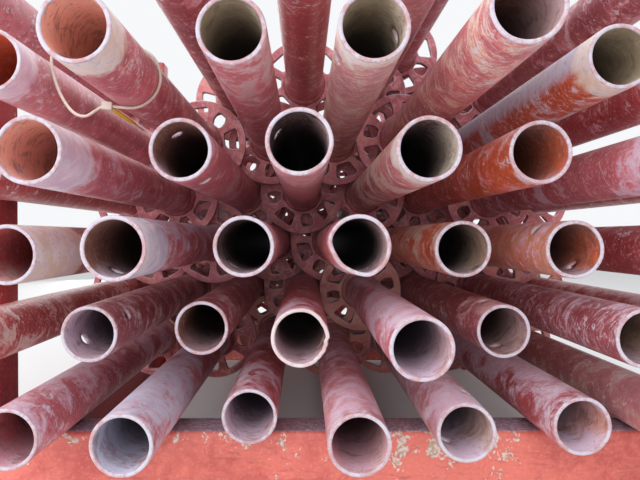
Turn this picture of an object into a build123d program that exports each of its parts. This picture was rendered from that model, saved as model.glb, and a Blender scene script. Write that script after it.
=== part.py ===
from build123d import *
from math import acos, cos, degrees, dist, hypot, radians, sin, sqrt, tan
import os

os.makedirs("parts", exist_ok=True)

# Standard: one scaffold tube with its rosettes welded on
tube_diameter = 48.3
tube_wall = 3.2
standard_length = 1000.0
first_rosette_centre = 420.0
rosette_spacing = 500.0
rosette_diameter = 124.0
rosette_thickness = 10.0

# Openings of the rosette: small ones for ledgers, wide ones for braces
opening_pairs = 4
opening_root_radius = 32.0
opening_rim_radius = 52.0
small_opening_root_width = 11.0
small_opening_rim_width = 18.0
small_opening_shoulder_radius = 39.0
wide_opening_root_width = 20.0
wide_opening_rim_width = 34.0

# Cross hole for the locking pin, near the open foot of some tubes
pin_hole_across_flats = 11.0
pin_hole_sides = 6
pin_hole_from_end = 35.0

# Each drilled tube by row and place, with its roll in degrees from the pin hole on top
drilled_tubes = {
    (1, 5): 25,
    (2, 2): 59,
    (2, 4): -75,
    (2, 6): -15,
    (3, 2): 26,
    (3, 3): 40,
    (3, 4): -20,
    (3, 6): -44,
    (4, 3): -31,
    (4, 4): -55,
    (5, 4): 71,
}
roll_step_of_the_rest = 52.0

# How far each mouth stands out from the deepest one, row by row from the
# bottom and from left to right. None is a place that stays empty.
stand_outs = [
    [66, 78, 16, 78, 53, 40, 85],
    [38, 24, 0, 46, 89, 0, 52, 20],
    [53, 89, 59, 78, 24, 38, 70],
    [20, 105, 72, 100, 89, 72, 104, 30],
    [72, 133, 112, 124, 154, 84, 60],
    [55, None, 90, 160, 105, 60, 115, None],
    [None, None, None, None, 80, None, None],
]

# Shares of the bottom row's width between its tubes, from left to right
bottom_shares = [92, 89, 89, 88, 99, 88]
bottom_end_inset = 77.5

# Rack: each end has a beam with two posts on its inner face, joined by side rails
rack_inner_width = 700.0
beam_height = 100.0
section_depth = 40.0
section_wall = 3.0
section_chamfer = 4.0
post_width = 50.0
post_height = 560.0  # above the beams
rail_height = 50.0
foot_side = 100.0
foot_thickness = 8.0
front_beam_behind_mouths = 16.0
beam_spacing = 690.0

# Plastic tag tie, looped round one tube: the tube's row and place, and the tie's sizes
tied_tube = (5, 2)
tie_from_mouth = 107.0
tie_across_flats = 2.6
tie_section_sides = 6
clip_angle = -128.0
clip_stand_off = 4.8
clip_length = 9.0
clip_height = 7.0
clip_depth = 5.0
tag_length = 65.0
tag_width = 7.0
tag_thickness = 2.0
tail_length = 33.0

# The tie's slack belly: where it leaves the tube, and its corners from the tube's axis
slack_leaves_angle = 80.0
slack_corners = [(-52, 35), (-67, 20), (-56, -12), (-45, -35), (-33, -36)]
slack_entry_length = 6.0
slack_arc_share = 0.45

# What only rests on its neighbour keeps this much air
rest_gap = 0.3

tube_radius = tube_diameter / 2
bore_radius = tube_radius - tube_wall
rosette_radius = rosette_diameter / 2
resting_distance = rosette_radius + tube_radius + rest_gap

beam_top = foot_thickness + beam_height
inner_half_width = rack_inner_width / 2
outer_half_width = inner_half_width + post_width


def bottom_row():
    # The tubes share the rack's width, and never lie closer than they can rest
    spread = rack_inner_width - 2 * bottom_end_inset
    unit = spread / sum(bottom_shares)
    steps = [max(share * unit, resting_distance) for share in bottom_shares]
    z = beam_top + rest_gap + tube_radius
    row = [(-sum(steps) / 2, z)]
    for step in steps:
        row.append((row[-1][0] + step, z))
    return row


def in_valley(left, right):
    # A tube that lies in the valley between two tubes of the row below
    span_x = right[0] - left[0]
    span_z = right[1] - left[1]
    span = hypot(span_x, span_z)
    rise = sqrt(resting_distance**2 - span**2 / 4)
    x = (left[0] + right[0]) / 2 - rise * span_z / span
    z = (left[1] + right[1]) / 2 + rise * span_x / span
    return x, z


def beside_post(lower, neighbour, side):
    # A tube that leans on a post and on the tube below, where there is room
    x = side * (inner_half_width - rest_gap - tube_radius)
    reach = abs(x - lower[0])
    if reach >= resting_distance:
        return []
    z = lower[1] + sqrt(resting_distance**2 - reach**2)
    if hypot(x - neighbour[0], z - neighbour[1]) < resting_distance:
        return []
    return [(x, z)]


def row_above(lower):
    valleys = [in_valley(left, right) for left, right in zip(lower, lower[1:])]
    left_end = beside_post(lower[0], valleys[0], -1)
    right_end = beside_post(lower[-1], valleys[-1], 1)
    return left_end + valleys + right_end


def clear_stand_out(wanted, place, placed):
    # The rosettes of two close tubes pass each other only at different depths
    near = [out for other, out in placed if dist(place, other) < rosette_diameter + rest_gap]
    for out in sorted(near):
        if abs(wanted - out) < rosette_thickness + rest_gap:
            wanted = out + rosette_thickness + rest_gap
    return wanted


rows = [bottom_row()]
while len(rows) < len(stand_outs):
    rows.append(row_above(rows[-1]))

# Each row's tubes as pairs of their place and how far they stand out
placed = []
row_starts = []
for row, row_outs in zip(rows, stand_outs):
    row_starts.append(len(placed))
    for place, wanted in zip(row, row_outs):
        if wanted is not None:
            placed.append((place, clear_stand_out(wanted, place, placed)))
row_ends = row_starts[1:] + [len(placed)]

stack_depth = standard_length + max(out for place, out in placed)
deepest_mouth_y = stack_depth / 2 - standard_length
front_beam_y = deepest_mouth_y + front_beam_behind_mouths + section_depth / 2
rear_beam_y = front_beam_y + beam_spacing


# One rosette, its front face at the origin and its thickness along +Y
with BuildPart() as rosette:
    with BuildSketch(Plane.XZ) as rosette_outline:
        Circle(rosette_radius)
        Circle(tube_radius, mode=Mode.SUBTRACT)
        with PolarLocations(0, opening_pairs):
            Polygon(
                (opening_root_radius, -wide_opening_root_width / 2),
                (opening_rim_radius, -wide_opening_rim_width / 2),
                (opening_rim_radius, wide_opening_rim_width / 2),
                (opening_root_radius, wide_opening_root_width / 2),
                align=None,
                mode=Mode.SUBTRACT,
            )
        with PolarLocations(0, opening_pairs, start_angle=180 / opening_pairs):
            Polygon(
                (opening_root_radius, -small_opening_root_width / 2),
                (small_opening_shoulder_radius, -small_opening_rim_width / 2),
                (opening_rim_radius, -small_opening_rim_width / 2),
                (opening_rim_radius, small_opening_rim_width / 2),
                (small_opening_shoulder_radius, small_opening_rim_width / 2),
                (opening_root_radius, small_opening_root_width / 2),
                align=None,
                mode=Mode.SUBTRACT,
            )
    extrude(amount=-rosette_thickness)

# One tube, its open foot at the origin and its length along +Y
with BuildPart() as plain_tube:
    with BuildSketch(Plane.XZ) as tube_section:
        Circle(tube_radius)
        Circle(bore_radius, mode=Mode.SUBTRACT)
    extrude(amount=-standard_length)

with BuildPart() as drilled_tube:
    add(plain_tube.part)
    with BuildSketch(Plane.XY) as pin_hole_outline:
        with Locations((0, pin_hole_from_end)):
            RegularPolygon(pin_hole_across_flats / 2, pin_hole_sides, major_radius=False)
    extrude(amount=tube_radius, both=True, mode=Mode.SUBTRACT)

# The stack: the tubes of a row share a node, and so do their rosettes
rosette_count = 1 + int((standard_length - first_rosette_centre) // rosette_spacing)
first_rosette_face = first_rosette_centre - rosette_thickness / 2
rosette_places = [
    (0, first_rosette_face + index * rosette_spacing, 0) for index in range(rosette_count)
]
for row_number, (start, end) in enumerate(zip(row_starts, row_ends), start=1):
    standard_places = []
    drilled_places = []
    plain_places = []
    for count in range(start, end):
        (x, z), stand_out = placed[count]
        tube_name = (row_number, count - start + 1)
        roll = drilled_tubes.get(tube_name, count * roll_step_of_the_rest)
        place = Location((x, deepest_mouth_y - stand_out, z), (0, roll, 0))
        standard_places.append(place)
        if tube_name in drilled_tubes:
            drilled_places.append(place)
        else:
            plain_places.append(place)

    with BuildPart() as tubes_row:
        for kind_of_tube, places in ((plain_tube, plain_places), (drilled_tube, drilled_places)):
            for place in places:
                with Locations(place):
                    add(kind_of_tube.part)
    tubes_row.part.label = f"tubes_row_{row_number}"
    export_step(tubes_row.part, f"parts/{tubes_row.part.label}.step")

    with BuildPart() as rosettes_row:
        with Locations(standard_places):
            with Locations(rosette_places):
                add(rosette.part)
    rosettes_row.part.label = f"rosettes_row_{row_number}"
    export_step(rosettes_row.part, f"parts/{rosettes_row.part.label}.step")


def hollow_section(width, height):
    # A centred rectangular hollow section, its rounded corners drawn as chamfers
    with BuildSketch() as section:
        Rectangle(width, height)
        chamfer(section.vertices(), section_chamfer)
        Rectangle(width - 2 * section_wall, height - 2 * section_wall, mode=Mode.SUBTRACT)
    return section.sketch


beam_profile = hollow_section(section_depth, beam_height)
post_profile = hollow_section(post_width, section_depth)
rail_profile = hollow_section(post_width, rail_height)

# Rack ends: the tubes lie on the beams' top walls and lean on the posts
beam_centre_z = foot_thickness + beam_height / 2
for end_name, beam_y, inwards in (("front", front_beam_y, 1), ("rear", rear_beam_y, -1)):
    with BuildPart() as beam:
        with BuildSketch(Plane.YZ.offset(-outer_half_width)) as beam_section:
            with Locations((beam_y, beam_centre_z)):
                add(beam_profile)
        extrude(amount=2 * outer_half_width)
    beam.part.label = f"{end_name}_beam"
    export_step(beam.part, f"parts/{beam.part.label}.step")

    for side_name, side in (("left", -1), ("right", 1)):
        post_x = side * (inner_half_width + post_width / 2)
        with BuildPart() as post:
            with BuildSketch(Plane.XY.offset(foot_thickness)) as post_section:
                with Locations((post_x, beam_y + inwards * section_depth)):
                    add(post_profile)
            extrude(amount=beam_height + post_height)
        post.part.label = f"{end_name}_{side_name}_post"
        export_step(post.part, f"parts/{post.part.label}.step")

        foot_x = side * (outer_half_width - foot_side / 2)
        with BuildPart() as foot:
            with BuildSketch() as foot_outline:
                with Locations((foot_x, beam_y + inwards * section_depth / 2)):
                    Rectangle(foot_side, foot_side)
            extrude(amount=foot_thickness)
        foot.part.label = f"{end_name}_{side_name}_foot"
        export_step(foot.part, f"parts/{foot.part.label}.step")

# Side rails: they tie the posts of the two ends together
rail_start_y = front_beam_y + section_depth * 3 / 2
rail_length = beam_spacing - section_depth * 3
for side_name, side in (("left", -1), ("right", 1)):
    rail_x = side * (inner_half_width + post_width / 2)
    with BuildPart() as side_rail:
        with BuildSketch(Plane.XZ.offset(-rail_start_y)) as rail_section:
            with Locations((rail_x, foot_thickness + rail_height / 2)):
                add(rail_profile)
        extrude(amount=-rail_length)
    side_rail.part.label = f"{side_name}_side_rail"
    export_step(side_rail.part, f"parts/{side_rail.part.label}.step")

# Tag tie: from its clip it hugs the tube round to the top, then hangs slack
tied_row, tied_place = tied_tube
(tie_x, tie_z), tied_stand_out = placed[row_starts[tied_row - 1] + tied_place - 1]
tie_y = deepest_mouth_y - tied_stand_out + tie_from_mouth
tie_plane = Plane(origin=(tie_x, tie_y, tie_z), x_dir=(1, 0, 0), z_dir=(0, -1, 0))
hug_radius = tube_radius + rest_gap + tie_across_flats / 2
clip_radius = hug_radius + clip_stand_off
hug_start_angle = clip_angle + degrees(acos(hug_radius / clip_radius))
clip_x = clip_radius * cos(radians(clip_angle))
clip_z = clip_radius * sin(radians(clip_angle))
strap_heading = radians(hug_start_angle + 90)


def along_clip(distance):
    # A point on the clip's long axis, that far from its middle
    return clip_x + distance * cos(strap_heading), clip_z + distance * sin(strap_heading)


def turn_radius(before, corner, after):
    # The widest arc that both runs leave room for
    run_in = Vector(*corner) - Vector(*before)
    run_out = Vector(*after) - Vector(*corner)
    half_turn = radians(run_in.get_angle(run_out)) / 2
    return slack_arc_share * min(run_in.length, run_out.length) / tan(half_turn)


slack_start = (
    hug_radius * cos(radians(slack_leaves_angle)),
    hug_radius * sin(radians(slack_leaves_angle)),
)
slack_entry = along_clip(-clip_length / 2 - slack_entry_length)
slack_points = [slack_start, *slack_corners, slack_entry, along_clip(-clip_length / 2)]
slack_radii = [turn_radius(*three) for three in zip(slack_points, slack_points[1:], slack_points[2:])]
print("radii of the slack belly:", [round(radius, 1) for radius in slack_radii])

with BuildPart() as tie_loop:
    with BuildLine(tie_plane) as tie_route:
        strap_out = Line(
            along_clip(clip_length / 2),
            (
                hug_radius * cos(radians(hug_start_angle)),
                hug_radius * sin(radians(hug_start_angle)),
            ),
        )
        CenterArc((0, 0), hug_radius, hug_start_angle, slack_leaves_angle - hug_start_angle)
        FilletPolyline(*slack_points, radius=slack_radii)
    with BuildSketch(Plane(origin=strap_out @ 0, z_dir=strap_out % 0)) as tie_section:
        RegularPolygon(tie_across_flats / 2, tie_section_sides, major_radius=False)
    sweep()
tie_loop.part.label = "tie_loop"
export_step(tie_loop.part, "parts/tie_loop.step")

clip_plane = Plane(
    origin=tie_plane.from_local_coords((clip_x, clip_z, -clip_depth / 2)),
    x_dir=strap_out % 0,
    z_dir=(0, -1, 0),
)
with BuildPart() as tie_clip:
    with BuildSketch(clip_plane) as clip_outline:
        Rectangle(clip_length, clip_height)
    extrude(amount=clip_depth)
tie_clip.part.label = "tie_clip"
export_step(tie_clip.part, "parts/tie_clip.step")

# The flat tag lies behind the clip, along the tube, and the tie's end behind the tag
with BuildPart() as tie_tag:
    with BuildSketch(clip_plane) as tag_outline:
        Rectangle(tag_width, tag_thickness)
    extrude(amount=-tag_length)
tie_tag.part.label = "tie_tag"
export_step(tie_tag.part, "parts/tie_tag.step")

with BuildPart() as tie_tail:
    with BuildSketch(clip_plane.offset(-tag_length)) as tail_section:
        RegularPolygon(tie_across_flats / 2, tie_section_sides, major_radius=False)
    extrude(amount=-tail_length)
tie_tail.part.label = "tie_tail"
export_step(tie_tail.part, "parts/tie_tail.step")
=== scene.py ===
import bpy, bmesh, cmath, math
from mathutils import Matrix, Vector, noise


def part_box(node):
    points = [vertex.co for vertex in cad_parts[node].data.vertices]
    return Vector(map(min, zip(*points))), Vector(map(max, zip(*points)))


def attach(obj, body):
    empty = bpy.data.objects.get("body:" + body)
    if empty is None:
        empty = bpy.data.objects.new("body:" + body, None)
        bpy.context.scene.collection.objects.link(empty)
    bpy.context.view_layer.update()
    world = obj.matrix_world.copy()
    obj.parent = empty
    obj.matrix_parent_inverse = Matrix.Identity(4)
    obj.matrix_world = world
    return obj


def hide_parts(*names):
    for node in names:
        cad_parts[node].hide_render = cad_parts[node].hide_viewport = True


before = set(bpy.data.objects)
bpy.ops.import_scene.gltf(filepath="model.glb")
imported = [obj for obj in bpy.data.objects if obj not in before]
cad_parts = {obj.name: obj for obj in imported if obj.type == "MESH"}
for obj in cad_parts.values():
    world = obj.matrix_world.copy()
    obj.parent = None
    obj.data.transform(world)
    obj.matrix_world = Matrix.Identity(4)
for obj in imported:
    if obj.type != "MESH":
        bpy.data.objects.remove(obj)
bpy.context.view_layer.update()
scene = bpy.context.scene
scene.view_settings.view_transform = "Standard"
print("frame loaded")


class Wire:
    # One output of a node; sums and products of wires become Math nodes
    def __init__(self, graph, socket):
        self.graph = graph
        self.socket = socket

    def __add__(self, other): return self.graph.math("ADD", self, other)
    def __radd__(self, other): return self.graph.math("ADD", other, self)
    def __sub__(self, other): return self.graph.math("SUBTRACT", self, other)
    def __rsub__(self, other): return self.graph.math("SUBTRACT", other, self)
    def __mul__(self, other): return self.graph.math("MULTIPLY", self, other)
    def __rmul__(self, other): return self.graph.math("MULTIPLY", other, self)
    def __truediv__(self, other): return self.graph.math("DIVIDE", self, other)


class Graph:
    def __init__(self, tree):
        self.tree = tree

    def add(self, kind, settings=None, sockets=None, out=0):
        # Settings first, then each socket gets its value or its link
        node = self.tree.nodes.new(kind)
        for name, value in (settings or {}).items():
            setattr(node, name, value)
        for name, value in (sockets or {}).items():
            if isinstance(value, Wire):
                self.tree.links.new(value.socket, node.inputs[name])
            else:
                node.inputs[name].default_value = value
        return node if out is None else Wire(self, node.outputs[out])

    def math(self, operation, *values):
        return self.add("ShaderNodeMath", {"operation": operation}, dict(enumerate(values)))

    def vector(self, operation, *values, out=0):
        return self.add("ShaderNodeVectorMath", {"operation": operation}, dict(enumerate(values)), out)

    def attribute(self, name, out="Fac"):
        return self.add("ShaderNodeAttribute", {"attribute_name": name}, out=out)

    def mix(self, factor, first, second):
        def rgba(color):
            return color if isinstance(color, Wire) else (*color, 1)
        return self.add("ShaderNodeMix", {"data_type": "RGBA"},
                        {0: factor, 6: rgba(first), 7: rgba(second)}, out=2)

    def combined(self, x=0.0, y=0.0, z=0.0):
        return self.add("ShaderNodeCombineXYZ", None, {0: x, 1: y, 2: z})

    def rise(self, value, start, end):
        # 0 below start, 1 above end, smooth between
        return self.add("ShaderNodeMapRange", {"interpolation_type": "SMOOTHSTEP"},
                        {"Value": value, "From Min": start, "From Max": end})

    def noise(self, place, scale, detail=4.0, roughness=0.55, distortion=0.0):
        return self.add("ShaderNodeTexNoise", None,
                        {"Vector": place, "Scale": scale, "Detail": detail,
                         "Roughness": roughness, "Distortion": distortion})

    def stretch(self, place, factors):
        return self.vector("MULTIPLY", place, factors)

    def scaled(self, direction, size):
        return self.add("ShaderNodeVectorMath", {"operation": "SCALE"}, {0: direction, "Scale": size})


def placed(name, data):
    # A new object in the scene
    thing = bpy.data.objects.new(name, data)
    scene.collection.objects.link(thing)
    return thing


def meshFrom(bm, name):
    mesh = bpy.data.meshes.new(name)
    bm.to_mesh(mesh)
    bm.free()
    return mesh


def smoothAll(bm):
    # Every face outwards, and shaded smooth
    bmesh.ops.recalc_face_normals(bm, faces=bm.faces)
    for face in bm.faces:
        face.smooth = True


def newPaint(name):
    material = bpy.data.materials.new(name)
    material.use_nodes = True
    material.node_tree.nodes.clear()
    return material, Graph(material.node_tree)


bumpDepth = 0.001


def closePaint(graph, color, roughness, height, bump):
    shader = graph.add("ShaderNodeBsdfPrincipled", None,
                       {"Base Color": color, "Roughness": roughness}, out=None)
    bumped = graph.add("ShaderNodeBump", None,
                       {"Height": height, "Strength": bump, "Distance": bumpDepth})
    graph.tree.links.new(bumped.socket, shader.inputs["Normal"])
    output = graph.add("ShaderNodeOutputMaterial", out=None)
    graph.tree.links.new(shader.outputs[0], output.inputs[0])


# The tints that a tube's coat, dust with painted sheen, and bore are named from; the near-black one is the
# bores' painted shade
tints = {
    "red": (0.52, 0.085, 0.088),
    "pinkRed": (0.71, 0.185, 0.215),
    "rosy": (0.67, 0.275, 0.30),
    "maroon": (0.40, 0.105, 0.120),
    "brown": (0.24, 0.095, 0.065),
    "orange": (0.70, 0.12, 0.035),
    "peach": (0.74, 0.32, 0.21),
    "lavender": (0.70, 0.54, 0.67),
    "blueGrey": (0.54, 0.58, 0.74),
    "cream": (0.82, 0.70, 0.56),
    "dusky": (0.68, 0.46, 0.47),
    "tan": (0.54, 0.37, 0.25),
    "olive": (0.33, 0.28, 0.17),
    "salmon": (0.93, 0.45, 0.34),
    "soot": (0.035, 0.018, 0.020),
}
rimTints = {"pale": (0.50, 0.46, 0.53), "pink": (0.46, 0.27, 0.29), "chip": (0.58, 0.53, 0.60)}


def ownPlace(g, steps):
    # A place along the tube, moved on by the tube's number, so that no two wear alike
    tubeId = g.attribute("tubeId")
    return g.vector("ADD", g.attribute("alongTube", "Vector"), g.combined(*(tubeId * step for step in steps)))


tubePaintSettings = {
    "ownSteps": (0.731, 1.317, 0.513),
    "broad": 10.0,
    "middle": 44.0,
    "curls": 105.0,
    "curlStretch": (1.0, 1.7, 1.0),
    "flecks": 165.0,
    "dabs": 250.0,
    "fine": 340.0,
    "strokeSlant": (230.0, 520.0, 120.0),
    "strokeAlong": (75.0, 0.0, 75.0),
    "farShadedCoat": (0.44, 0.105, 0.108),
    "shade": (0.07, 0.018, 0.026),
    "lightDust": (0.82, 0.76, 0.78),
    "sunPatchPale": (0.90, 0.86, 0.88),
    "brightChip": (0.74, 0.70, 0.74),
    "pit": (0.12, 0.045, 0.05),
    "bump": 0.5,
}


def makeTubePaint():
    s = tubePaintSettings
    material, g = newPaint("tubePaint")
    place = ownPlace(g, s["ownSteps"])
    coat, patch, haze, lip, flank = (
        g.attribute(n, "Color") for n in ("coat", "patch", "haze", "lip", "flank"))
    hazeAmount, strokeAmount, band = (g.attribute(n) for n in ("hazeAmount", "strokeAmount", "band"))
    up, sideways, depth = (g.attribute(n) for n in ("skyward", "sideways", "fromMouth"))
    rim, bore = (g.attribute(n) for n in ("rim", "bore"))

    broad = g.noise(place, s["broad"], 5.0, 0.6, 0.4)
    middle = g.noise(place, s["middle"], 8.0, 0.66, 0.9)
    curls = g.noise(g.stretch(place, s["curlStretch"]), s["curls"], 6.0, 0.62, 2.6)
    fine = g.noise(place, s["fine"], 6.0, 0.62)
    slant = g.vector("DOT_PRODUCT", place, s["strokeSlant"], out="Value")
    slanted = g.vector("ADD", g.stretch(place, s["strokeAlong"]), g.combined(y=slant))
    strokes = g.noise(slanted, 1.0, 5.0, 0.66, 0.5)

    # The coat and its patches
    # Painted shade: the coat darkens with depth from the mouth, where the stack keeps the light out
    coat = g.mix(g.rise(depth, 0.05, 0.32) * 0.6, coat, s["farShadedCoat"])
    shaded = g.mix(0.38, coat, s["shade"])
    color = g.mix(g.rise(broad * 0.6 + middle * 0.4, 0.40, 0.58), shaded, coat)
    color = g.mix(g.rise(broad * 0.45 + middle * 0.55, 0.5, 0.57) * 0.9, color, patch)
    color = g.mix(g.rise(curls * 0.8 + fine * 0.2, 0.52, 0.62) * 0.6, color, patch)
    # Painted light: the side facing up and left takes the patch tint, as lit from the upper left
    upLeft = (up - sideways) * 0.5
    litUpperLeft = g.rise(middle * 0.6 + upLeft, 0.5, 0.8) * g.attribute("leftPatched")
    color = g.mix(litUpperLeft, color, patch)

    # Dust with painted sky sheen from above, strokes across, and a painted patch of sunlight behind the mouth
    near = g.math("EXPONENT", depth * -5.0)
    # Dust on the upward faces, with a painted sheen of the bright sky on them
    dustAndSheenMask = g.rise(up * 0.17 + broad * 1.1 + middle * 1.2 + hazeAmount * 0.32 + near * 0.1, 1.4, 1.68)
    color = g.mix(dustAndSheenMask * 0.85, color, haze)
    lightHaze = g.mix(0.45, haze, s["lightDust"])
    streaks = strokes * 0.55 + middle * 0.25 + curls * 0.2
    stroked = g.rise(streaks + strokeAmount * 0.08 + near * 0.02, 0.575, 0.64)
    color = g.mix(stroked * 0.6, color, lightHaze)
    combed = g.rise(curls * 0.75 - strokes * 0.5 + strokeAmount * 0.04, 0.17, 0.26)
    color = g.mix(combed * 0.6, color, coat)
    # Painted sunlight: a pale patch behind the mouth, where sun fell on the tube
    wearAndSunPatch = g.rise(band - depth * 22.0 + middle * 0.9 - 0.45, 0.0, 0.3)
    color = g.mix(wearAndSunPatch * 0.85, color, g.mix(g.rise(middle, 0.38, 0.6) * 0.7, haze, s["sunPatchPale"]))

    # Chips, dabs and pits
    flecks = g.noise(place, s["flecks"], 3.0, 0.5, 0.6)
    chips = g.rise(flecks * 0.55 + middle * 0.45 + near * 0.03, 0.605, 0.625)
    color = g.mix(chips * 0.85, color, g.mix(fine, rimTints["chip"], s["brightChip"]))
    dabs = g.noise(place, s["dabs"], 2.0, 0.5, 1.2)
    dabbed = g.rise(dabs * 0.6 + middle * 0.4 + hazeAmount * 0.01, 0.575, 0.6)
    color = g.mix(dabbed * 0.5, color, lightHaze)
    pits = g.rise(fine * 0.6 + curls * 0.4, 0.63, 0.68)
    color = g.mix(pits * 0.55, color, s["pit"])

    # The bore: dust and painted light lie on its floor, its right flank has painted light and shade, and
    # painted shade darkens it inwards
    # Dust and painted light on the bore's upward-facing floor
    floorDustAndLight = g.rise(up * 0.35 + middle * 1.1 + broad * 0.5, 0.85, 1.2)
    boreColor = g.mix(floorDustAndLight * 0.75, lip, g.mix(0.5, haze, tints["lavender"]))
    # Painted light and shade: the bore's right flank, facing the light from the upper left, takes its own
    # tint
    boreColor = g.mix(g.rise(sideways * -0.4 + middle * 1.0, 0.62, 0.9) * 0.85, boreColor, flank)
    boreColor = g.mix(g.rise(curls * 0.6 + strokes * 0.4, 0.5, 0.6) * 0.5, boreColor, tints["dusky"])
    boreColor = g.mix(g.rise(middle * 0.6 + strokes * 0.4, 0.5, 0.6) * 0.55, boreColor, tints["brown"])
    boreColor = g.mix(g.rise(curls * 0.5 + fine * 0.5, 0.55, 0.62) * 0.5, boreColor, tints["maroon"])
    # Painted shade deepens inwards to near black; painted sunlight (litBore) keeps a bore pale
    paintedBoreShade = g.rise(depth + middle * 0.05 - up * 0.012, 0.018, 0.12) * (1 - g.attribute("litBore") * 0.8)
    boreColor = g.mix(paintedBoreShade, boreColor, g.mix(0.8, lip, tints["soot"]))
    color = g.mix(bore, color, boreColor)

    # The rim, rubbed to the metal
    bared = g.rise(rim + (curls - 0.5) * 0.9 + (fine - 0.5) * 0.6, 0.5, 0.66)
    rimColor = g.mix(g.rise(middle * 0.6 + fine * 0.4, 0.45, 0.58), rimTints["pale"], rimTints["pink"])
    rimColor = g.mix(g.attribute("bite") * 80.0, rimColor, tints["cream"])
    color = g.mix(bared, color, rimColor)

    roughness = 0.33 + dustAndSheenMask * 0.12 + stroked * 0.12 + bore * 0.3 + bared * 0.1 + fine * 0.1
    height = fine * 0.4 + curls * 0.45 + middle * 0.3 + stroked * 0.3 - chips * 0.6 - pits * 0.5
    closePaint(g, color, roughness, height, s["bump"])
    return material


rosettePaintSettings = {
    "ownSteps": (0.631, 1.117, 0.813),
    "broad": 24.0,
    "middle": 90.0,
    "fine": 520.0,
    "deepCoat": (0.28, 0.058, 0.070),
    "brightCoat": (0.58, 0.15, 0.17),
    "rust": (0.11, 0.04, 0.03),
    "weld": (0.16, 0.05, 0.05),
    "lowRowsEnd": (28.0, 32.0),     # tube numbers between the second row and the third
    "bump": 0.5,
}


def makeRosettePaint():
    s = rosettePaintSettings
    material, g = newPaint("rosettePaint")
    tubeId = g.attribute("tubeId")
    place = ownPlace(g, s["ownSteps"])
    up, edge, weld = (g.attribute(n) for n in ("skyward", "edge", "weld"))
    chance = g.add("ShaderNodeTexWhiteNoise", {"noise_dimensions": "1D"}, {"W": tubeId}, out=0)
    broad = g.noise(place, s["broad"], 4.0)
    middle = g.noise(place, s["middle"], 7.0, 0.65, 0.8)
    fine = g.noise(place, s["fine"], 5.0)
    color = g.mix(g.rise(broad * 0.6 + chance * 0.4, 0.3, 0.65), s["deepCoat"], s["brightCoat"])
    color = g.mix(g.rise(middle, 0.42, 0.7) * 0.65, color, tints["rosy"])
    dusty = g.rise(up * 0.5 + middle * 0.6 + chance * 0.2, 0.42, 0.9)
    color = g.mix(dusty * 0.75, color, g.mix(chance, tints["dusky"], tints["lavender"]))
    lowRows = 1 - g.rise(tubeId, *s["lowRowsEnd"])
    tanned = g.rise(broad * 0.55 + middle * 0.35 + chance * 0.25 + lowRows * 0.1, 0.6, 0.74)
    color = g.mix(tanned * 0.45, color, g.mix(fine, tints["tan"], tints["peach"]))
    rust = g.rise(fine * 0.4 + middle * 0.6, 0.6, 0.67)
    color = g.mix(rust * 0.7, color, s["rust"])
    color = g.mix(weld * 0.35, color, s["weld"])
    color = g.mix(g.rise(edge * 0.6 + middle * 0.5, 0.62, 0.9) * 0.7, color, rimTints["pale"])
    roughness = 0.5 + dusty * 0.25 + fine * 0.12
    closePaint(g, color, roughness, fine * 0.4 + middle * 0.6 - rust * 0.4, s["bump"])
    return material


rackPaintSettings = {
    "beamPaint": {"deep": (0.44, 0.070, 0.058), "bright": (0.70, 0.17, 0.13),
                  "chips": 0.006, "topWear": 0.18},
    "rackPaint": {"deep": (0.22, 0.022, 0.028), "bright": (0.42, 0.05, 0.055),
                  "chips": -0.03, "topWear": -0.1},
    "broad": 7.0,
    "middle": 36.0,
    "fine": 300.0,
    "drag": (30.0, 260.0, 60.0),
    "brush": (34.0, 60.0, 120.0),
    "chalk": (0.78, 0.42, 0.36),
    "brushShade": (0.10, 0.03, 0.03),
    "primer": ((0.40, 0.34, 0.26), (0.70, 0.62, 0.56)),
    "scar": (0.16, 0.07, 0.06),
    "rubbed": ((0.24, 0.19, 0.25), (0.48, 0.41, 0.48)),
    "chipsFrom": 0.625,
    "chipsFull": 0.645,
    "bump": 0.5,
}


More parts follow.
